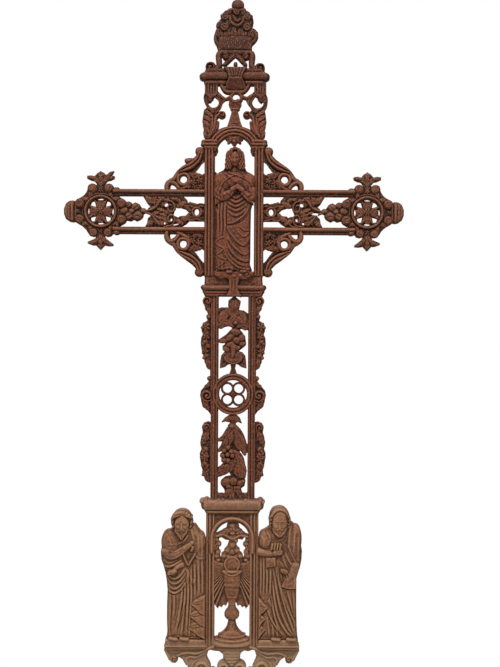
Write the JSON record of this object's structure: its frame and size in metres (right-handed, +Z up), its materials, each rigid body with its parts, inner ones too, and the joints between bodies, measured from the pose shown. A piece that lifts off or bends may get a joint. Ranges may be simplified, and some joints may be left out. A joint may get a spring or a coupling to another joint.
{
  "type": "cast iron grave cross",
  "caption": "Openwork cast-iron grave cross with a niche figure, leaf scrolls and relief saints on a foot that is bolted to a stone.",
  "frame": {"origin": "centre of the sill's underside, where the cross is bolted down on its stone", "axes": "+Z up, front of the cross towards -Y, arms along X"},
  "size_m": [0.814, 0.07, 1.652],
  "materials": {
    "cross_iron": "sand-cast iron weathered to an even brown rust, darker in the recesses",
    "figure_iron": "finer sand-cast iron, brown rust with lighter fold crests",
    "saint_iron": "finer sand-cast iron, brown rust with an olive-tan cast towards the slab"
  },
  "bodies": {
    "root": {"foot": "cross_iron", "chalice_panel": "cross_iron", "shaft": "cross_iron", "niche_frame": "cross_iron", "crest": "cross_iron", "left_arm": "cross_iron", "right_arm": "cross_iron", "niche_figure": "figure_iron", "left_saint": "saint_iron", "right_saint": "saint_iron"}
  },
  "joints": []
}
